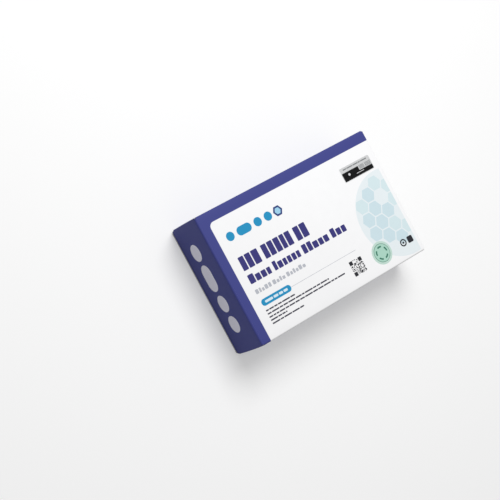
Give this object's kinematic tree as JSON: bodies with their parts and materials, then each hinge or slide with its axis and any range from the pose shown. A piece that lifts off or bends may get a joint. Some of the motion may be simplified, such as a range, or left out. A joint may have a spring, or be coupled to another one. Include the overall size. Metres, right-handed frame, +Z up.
{
  "type": "lateral flow test kit carton",
  "caption": "Flat folding carton with a tuck lid at each end, printed board panels and a film sticker, holding foil pouches, capped tubes, swab packs and a folded leaflet.",
  "frame": {"origin": "centre of the bounding box's bottom face, on the surface that the carton lies on", "axes": "+X along the length from the left end to the right end, +Y from the front side to the back side, +Z up through the printed top panel"},
  "size_m": [0.2, 0.1264, 0.0521],
  "materials": {
    "printed_board": "printed folding board, satin varnish",
    "silver_film": "silvered film, gloss",
    "pouch_foil": "aluminised film laminate, satin",
    "tube_plastic": "milky natural plastic",
    "cap_plastic": "white moulded plastic",
    "peel_pack": "paper and clear film",
    "leaflet_paper": "thin uncoated paper"
  },
  "bodies": {
    "body": {"carton": "printed_board", "film_sticker": "silver_film", "cassette_pouch_01": "pouch_foil", "cassette_pouch_02": "pouch_foil", "cassette_pouch_03": "pouch_foil", "cassette_pouch_04": "pouch_foil", "cassette_pouch_05": "pouch_foil", "cassette_pouch_06": "pouch_foil", "cassette_pouch_07": "pouch_foil", "cassette_pouch_08": "pouch_foil", "cassette_pouch_09": "pouch_foil", "cassette_pouch_10": "pouch_foil", "buffer_tube_01": "tube_plastic", "buffer_tube_02": "tube_plastic", "buffer_tube_03": "tube_plastic", "buffer_tube_04": "tube_plastic", "buffer_tube_05": "tube_plastic", "buffer_tube_06": "tube_plastic", "buffer_tube_07": "tube_plastic", "buffer_tube_08": "tube_plastic", "buffer_tube_09": "tube_plastic", "buffer_tube_10": "tube_plastic", "dropper_cap_01": "cap_plastic", "dropper_cap_02": "cap_plastic", "dropper_cap_03": "cap_plastic", "dropper_cap_04": "cap_plastic", "dropper_cap_05": "cap_plastic", "dropper_cap_06": "cap_plastic", "dropper_cap_07": "cap_plastic", "dropper_cap_08": "cap_plastic", "dropper_cap_09": "cap_plastic", "dropper_cap_10": "cap_plastic", "swab_pack_01": "peel_pack", "swab_pack_02": "peel_pack", "swab_pack_03": "peel_pack", "swab_pack_04": "peel_pack", "swab_pack_05": "peel_pack", "swab_pack_06": "peel_pack", "swab_pack_07": "peel_pack", "swab_pack_08": "peel_pack", "swab_pack_09": "peel_pack", "swab_pack_10": "peel_pack", "leaflet": "leaflet_paper"},
    "left_lid": {"left_lid": "printed_board"},
    "right_lid": {"right_lid": "printed_board"}
  },
  "joints": [
    {"name": "left_lid_hinge", "type": "hinge", "parent": "body", "child": "left_lid", "pos_m": [-0.0981, 0, 0.052], "axis": [0, 1, 0], "range_deg": [0, 180]},
    {"name": "right_lid_hinge", "type": "hinge", "parent": "body", "child": "right_lid", "pos_m": [0.0981, 0, 0.052], "axis": [0, -1, 0], "range_deg": [0, 180]}
  ]
}
